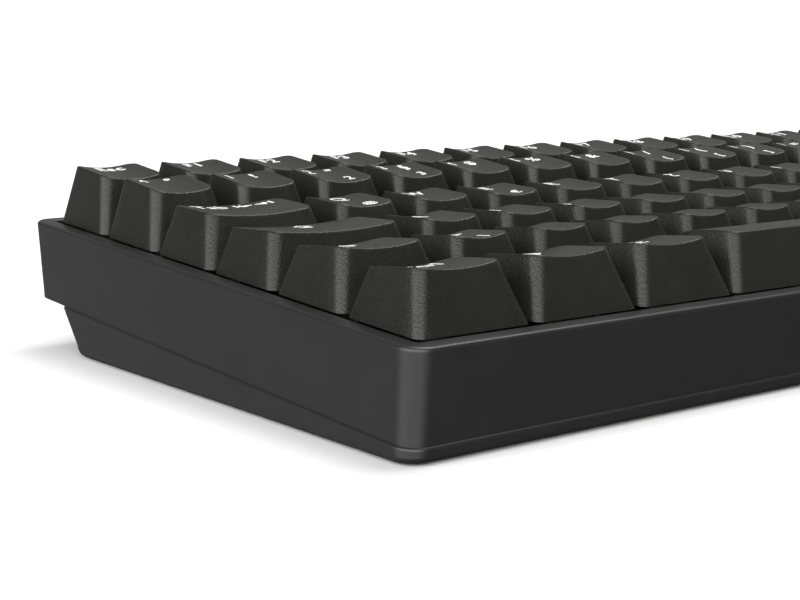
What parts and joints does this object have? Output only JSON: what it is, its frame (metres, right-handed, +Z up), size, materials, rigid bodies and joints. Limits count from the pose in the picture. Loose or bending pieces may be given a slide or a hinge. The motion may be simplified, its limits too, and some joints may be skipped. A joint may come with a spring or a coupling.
{
  "type": "mechanical keyboard",
  "caption": "Low wedge-shaped computer keyboard with sculpted keys on spring switches in a two-part plastic case, a switch plate, circuit board, rear data port, rubber pads and flip-out feet.",
  "frame": {"origin": "on the desk, under the middle of the case's outline", "axes": "+X to the right along the key rows, +Y away from the typist, +Z up"},
  "size_m": [0.3128, 0.1214, 0.0361],
  "materials": {
    "case_plastic": "fine matt, dark grey",
    "key_plastic": "fine grained matt, warm dark grey, printed in white",
    "plate_steel": "satin black paint on steel",
    "board_laminate": "black solder mask and switch housings",
    "port_shell": "bright nickel plating",
    "pad_rubber": "soft black rubber"
  },
  "bodies": {
    "case": {"top_case": "case_plastic", "bottom_case": "case_plastic", "switch_plate": "plate_steel", "circuit_board": "board_laminate", "usb_port": "port_shell", "front_left_pad": "pad_rubber", "front_right_pad": "pad_rubber", "rear_left_pad": "pad_rubber", "rear_right_pad": "pad_rubber"},
    "left_foot": {"left_foot": "case_plastic"},
    "right_foot": {"right_foot": "case_plastic"},
    "keys_alt_gr_to_right_arrow": {"keys_alt_gr_to_right_arrow": "key_plastic"},
    "keys_b_to_end": {"keys_b_to_end": "key_plastic"},
    "keys_j_to_hash": {"keys_j_to_hash": "key_plastic"},
    "keys_i_to_plus": {"keys_i_to_plus": "key_plastic"},
    "keys_enter_to_page_down": {"keys_enter_to_page_down": "key_plastic"},
    "keys_8_to_home": {"keys_8_to_home": "key_plastic"},
    "keys_f9_to_delete": {"keys_f9_to_delete": "key_plastic"},
    "key_space": {"key_space": "key_plastic"},
    "key_esc": {"key_esc": "key_plastic"},
    "key_caps_lock": {"key_caps_lock": "key_plastic"},
    "key_ctrl_left": {"key_ctrl_left": "key_plastic"},
    "key_tab": {"key_tab": "key_plastic"},
    "key_shift_left": {"key_shift_left": "key_plastic"},
    "key_super": {"key_super": "key_plastic"},
    "key_alt_left": {"key_alt_left": "key_plastic"},
    "key_angle": {"key_angle": "key_plastic"},
    "key_y": {"key_y": "key_plastic"},
    "key_x": {"key_x": "key_plastic"},
    "key_c": {"key_c": "key_plastic"},
    "key_v": {"key_v": "key_plastic"},
    "key_a": {"key_a": "key_plastic"},
    "key_s": {"key_s": "key_plastic"},
    "key_d": {"key_d": "key_plastic"},
    "key_f": {"key_f": "key_plastic"},
    "key_g": {"key_g": "key_plastic"},
    "key_h": {"key_h": "key_plastic"},
    "key_q": {"key_q": "key_plastic"},
    "key_w": {"key_w": "key_plastic"},
    "key_e": {"key_e": "key_plastic"},
    "key_r": {"key_r": "key_plastic"},
    "key_t": {"key_t": "key_plastic"},
    "key_z": {"key_z": "key_plastic"},
    "key_u": {"key_u": "key_plastic"},
    "key_caret": {"key_caret": "key_plastic"},
    "key_1": {"key_1": "key_plastic"},
    "key_2": {"key_2": "key_plastic"},
    "key_3": {"key_3": "key_plastic"},
    "key_4": {"key_4": "key_plastic"},
    "key_5": {"key_5": "key_plastic"},
    "key_6": {"key_6": "key_plastic"},
    "key_7": {"key_7": "key_plastic"},
    "key_f1": {"key_f1": "key_plastic"},
    "key_f2": {"key_f2": "key_plastic"},
    "key_f3": {"key_f3": "key_plastic"},
    "key_f4": {"key_f4": "key_plastic"},
    "key_f5": {"key_f5": "key_plastic"},
    "key_f6": {"key_f6": "key_plastic"},
    "key_f7": {"key_f7": "key_plastic"},
    "key_f8": {"key_f8": "key_plastic"}
  },
  "joints": [
    {"name": "left_foot_fold", "type": "hinge", "parent": "case", "child": "left_foot", "pos_m": [-0.0994, 0.03533, 0.0027], "axis": [1, 0, 0], "range_deg": [0, 100]},
    {"name": "right_foot_fold", "type": "hinge", "parent": "case", "child": "right_foot", "pos_m": [0.0994, 0.03533, 0.0027], "axis": [1, 0, 0], "range_deg": [0, 100]},
    {"name": "keys_alt_gr_to_right_arrow_press", "type": "slide", "parent": "case", "child": "keys_alt_gr_to_right_arrow", "axis": [0, 0.0604, -0.9982], "range_m": [0, 0.004], "stiffness_N_per_m": 450, "springref_m": -0.004},
    {"name": "keys_b_to_end_press", "type": "slide", "parent": "case", "child": "keys_b_to_end", "axis": [0, 0.0604, -0.9982], "range_m": [0, 0.004], "stiffness_N_per_m": 675, "springref_m": -0.004},
    {"name": "keys_j_to_hash_press", "type": "slide", "parent": "case", "child": "keys_j_to_hash", "axis": [0, 0.0604, -0.9982], "range_m": [0, 0.004], "stiffness_N_per_m": 450, "springref_m": -0.004},
    {"name": "keys_i_to_plus_press", "type": "slide", "parent": "case", "child": "keys_i_to_plus", "axis": [0, 0.0604, -0.9982], "range_m": [0, 0.004], "stiffness_N_per_m": 375, "springref_m": -0.004},
    {"name": "keys_enter_to_page_down_press", "type": "slide", "parent": "case", "child": "keys_enter_to_page_down", "axis": [0, 0.0604, -0.9982], "range_m": [0, 0.004], "stiffness_N_per_m": 225, "springref_m": -0.004},
    {"name": "keys_8_to_home_press", "type": "slide", "parent": "case", "child": "keys_8_to_home", "axis": [0, 0.0604, -0.9982], "range_m": [0, 0.004], "stiffness_N_per_m": 525, "springref_m": -0.004},
    {"name": "keys_f9_to_delete_press", "type": "slide", "parent": "case", "child": "keys_f9_to_delete", "axis": [0, 0.0604, -0.9982], "range_m": [0, 0.004], "stiffness_N_per_m": 525, "springref_m": -0.004},
    {"name": "key_space_press", "type": "slide", "parent": "case", "child": "key_space", "axis": [0, 0.0604, -0.9982], "range_m": [0, 0.004], "stiffness_N_per_m": 75, "springref_m": -0.004},
    {"name": "key_esc_press", "type": "slide", "parent": "case", "child": "key_esc", "axis": [0, 0.0604, -0.9982], "range_m": [0, 0.004], "stiffness_N_per_m": 75, "springref_m": -0.004},
    {"name": "key_caps_lock_press", "type": "slide", "parent": "case", "child": "key_caps_lock", "axis": [0, 0.0604, -0.9982], "range_m": [0, 0.004], "stiffness_N_per_m": 75, "springref_m": -0.004},
    {"name": "key_ctrl_left_press", "type": "slide", "parent": "case", "child": "key_ctrl_left", "axis": [0, 0.0604, -0.9982], "range_m": [0, 0.004], "stiffness_N_per_m": 75, "springref_m": -0.004},
    {"name": "key_tab_press", "type": "slide", "parent": "case", "child": "key_tab", "axis": [0, 0.0604, -0.9982], "range_m": [0, 0.004], "stiffness_N_per_m": 75, "springref_m": -0.004},
    {"name": "key_shift_left_press", "type": "slide", "parent": "case", "child": "key_shift_left", "axis": [0, 0.0604, -0.9982], "range_m": [0, 0.004], "stiffness_N_per_m": 75, "springref_m": -0.004},
    {"name": "key_super_press", "type": "slide", "parent": "case", "child": "key_super", "axis": [0, 0.0604, -0.9982], "range_m": [0, 0.004], "stiffness_N_per_m": 75, "springref_m": -0.004},
    {"name": "key_alt_left_press", "type": "slide", "parent": "case", "child": "key_alt_left", "axis": [0, 0.0604, -0.9982], "range_m": [0, 0.004], "stiffness_N_per_m": 75, "springref_m": -0.004},
    {"name": "key_angle_press", "type": "slide", "parent": "case", "child": "key_angle", "axis": [0, 0.0604, -0.9982], "range_m": [0, 0.004], "stiffness_N_per_m": 75, "springref_m": -0.004},
    {"name": "key_y_press", "type": "slide", "parent": "case", "child": "key_y", "axis": [0, 0.0604, -0.9982], "range_m": [0, 0.004], "stiffness_N_per_m": 75, "springref_m": -0.004},
    {"name": "key_x_press", "type": "slide", "parent": "case", "child": "key_x", "axis": [0, 0.0604, -0.9982], "range_m": [0, 0.004], "stiffness_N_per_m": 75, "springref_m": -0.004},
    {"name": "key_c_press", "type": "slide", "parent": "case", "child": "key_c", "axis": [0, 0.0604, -0.9982], "range_m": [0, 0.004], "stiffness_N_per_m": 75, "springref_m": -0.004},
    {"name": "key_v_press", "type": "slide", "parent": "case", "child": "key_v", "axis": [0, 0.0604, -0.9982], "range_m": [0, 0.004], "stiffness_N_per_m": 75, "springref_m": -0.004},
    {"name": "key_a_press", "type": "slide", "parent": "case", "child": "key_a", "axis": [0, 0.0604, -0.9982], "range_m": [0, 0.004], "stiffness_N_per_m": 75, "springref_m": -0.004},
    {"name": "key_s_press", "type": "slide", "parent": "case", "child": "key_s", "axis": [0, 0.0604, -0.9982], "range_m": [0, 0.004], "stiffness_N_per_m": 75, "springref_m": -0.004},
    {"name": "key_d_press", "type": "slide", "parent": "case", "child": "key_d", "axis": [0, 0.0604, -0.9982], "range_m": [0, 0.004], "stiffness_N_per_m": 75, "springref_m": -0.004},
    {"name": "key_f_press", "type": "slide", "parent": "case", "child": "key_f", "axis": [0, 0.0604, -0.9982], "range_m": [0, 0.004], "stiffness_N_per_m": 75, "springref_m": -0.004},
    {"name": "key_g_press", "type": "slide", "parent": "case", "child": "key_g", "axis": [0, 0.0604, -0.9982], "range_m": [0, 0.004], "stiffness_N_per_m": 75, "springref_m": -0.004},
    {"name": "key_h_press", "type": "slide", "parent": "case", "child": "key_h", "axis": [0, 0.0604, -0.9982], "range_m": [0, 0.004], "stiffness_N_per_m": 75, "springref_m": -0.004},
    {"name": "key_q_press", "type": "slide", "parent": "case", "child": "key_q", "axis": [0, 0.0604, -0.9982], "range_m": [0, 0.004], "stiffness_N_per_m": 75, "springref_m": -0.004},
    {"name": "key_w_press", "type": "slide", "parent": "case", "child": "key_w", "axis": [0, 0.0604, -0.9982], "range_m": [0, 0.004], "stiffness_N_per_m": 75, "springref_m": -0.004},
    {"name": "key_e_press", "type": "slide", "parent": "case", "child": "key_e", "axis": [0, 0.0604, -0.9982], "range_m": [0, 0.004], "stiffness_N_per_m": 75, "springref_m": -0.004},
    {"name": "key_r_press", "type": "slide", "parent": "case", "child": "key_r", "axis": [0, 0.0604, -0.9982], "range_m": [0, 0.004], "stiffness_N_per_m": 75, "springref_m": -0.004},
    {"name": "key_t_press", "type": "slide", "parent": "case", "child": "key_t", "axis": [0, 0.0604, -0.9982], "range_m": [0, 0.004], "stiffness_N_per_m": 75, "springref_m": -0.004},
    {"name": "key_z_press", "type": "slide", "parent": "case", "child": "key_z", "axis": [0, 0.0604, -0.9982], "range_m": [0, 0.004], "stiffness_N_per_m": 75, "springref_m": -0.004},
    {"name": "key_u_press", "type": "slide", "parent": "case", "child": "key_u", "axis": [0, 0.0604, -0.9982], "range_m": [0, 0.004], "stiffness_N_per_m": 75, "springref_m": -0.004},
    {"name": "key_caret_press", "type": "slide", "parent": "case", "child": "key_caret", "axis": [0, 0.0604, -0.9982], "range_m": [0, 0.004], "stiffness_N_per_m": 75, "springref_m": -0.004},
    {"name": "key_1_press", "type": "slide", "parent": "case", "child": "key_1", "axis": [0, 0.0604, -0.9982], "range_m": [0, 0.004], "stiffness_N_per_m": 75, "springref_m": -0.004},
    {"name": "key_2_press", "type": "slide", "parent": "case", "child": "key_2", "axis": [0, 0.0604, -0.9982], "range_m": [0, 0.004], "stiffness_N_per_m": 75, "springref_m": -0.004},
    {"name": "key_3_press", "type": "slide", "parent": "case", "child": "key_3", "axis": [0, 0.0604, -0.9982], "range_m": [0, 0.004], "stiffness_N_per_m": 75, "springref_m": -0.004},
    {"name": "key_4_press", "type": "slide", "parent": "case", "child": "key_4", "axis": [0, 0.0604, -0.9982], "range_m": [0, 0.004], "stiffness_N_per_m": 75, "springref_m": -0.004},
    {"name": "key_5_press", "type": "slide", "parent": "case", "child": "key_5", "axis": [0, 0.0604, -0.9982], "range_m": [0, 0.004], "stiffness_N_per_m": 75, "springref_m": -0.004},
    {"name": "key_6_press", "type": "slide", "parent": "case", "child": "key_6", "axis": [0, 0.0604, -0.9982], "range_m": [0, 0.004], "stiffness_N_per_m": 75, "springref_m": -0.004},
    {"name": "key_7_press", "type": "slide", "parent": "case", "child": "key_7", "axis": [0, 0.0604, -0.9982], "range_m": [0, 0.004], "stiffness_N_per_m": 75, "springref_m": -0.004},
    {"name": "key_f1_press", "type": "slide", "parent": "case", "child": "key_f1", "axis": [0, 0.0604, -0.9982], "range_m": [0, 0.004], "stiffness_N_per_m": 75, "springref_m": -0.004},
    {"name": "key_f2_press", "type": "slide", "parent": "case", "child": "key_f2", "axis": [0, 0.0604, -0.9982], "range_m": [0, 0.004], "stiffness_N_per_m": 75, "springref_m": -0.004},
    {"name": "key_f3_press", "type": "slide", "parent": "case", "child": "key_f3", "axis": [0, 0.0604, -0.9982], "range_m": [0, 0.004], "stiffness_N_per_m": 75, "springref_m": -0.004},
    {"name": "key_f4_press", "type": "slide", "parent": "case", "child": "key_f4", "axis": [0, 0.0604, -0.9982], "range_m": [0, 0.004], "stiffness_N_per_m": 75, "springref_m": -0.004},
    {"name": "key_f5_press", "type": "slide", "parent": "case", "child": "key_f5", "axis": [0, 0.0604, -0.9982], "range_m": [0, 0.004], "stiffness_N_per_m": 75, "springref_m": -0.004},
    {"name": "key_f6_press", "type": "slide", "parent": "case", "child": "key_f6", "axis": [0, 0.0604, -0.9982], "range_m": [0, 0.004], "stiffness_N_per_m": 75, "springref_m": -0.004},
    {"name": "key_f7_press", "type": "slide", "parent": "case", "child": "key_f7", "axis": [0, 0.0604, -0.9982], "range_m": [0, 0.004], "stiffness_N_per_m": 75, "springref_m": -0.004},
    {"name": "key_f8_press", "type": "slide", "parent": "case", "child": "key_f8", "axis": [0, 0.0604, -0.9982], "range_m": [0, 0.004], "stiffness_N_per_m": 75, "springref_m": -0.004}
  ]
}
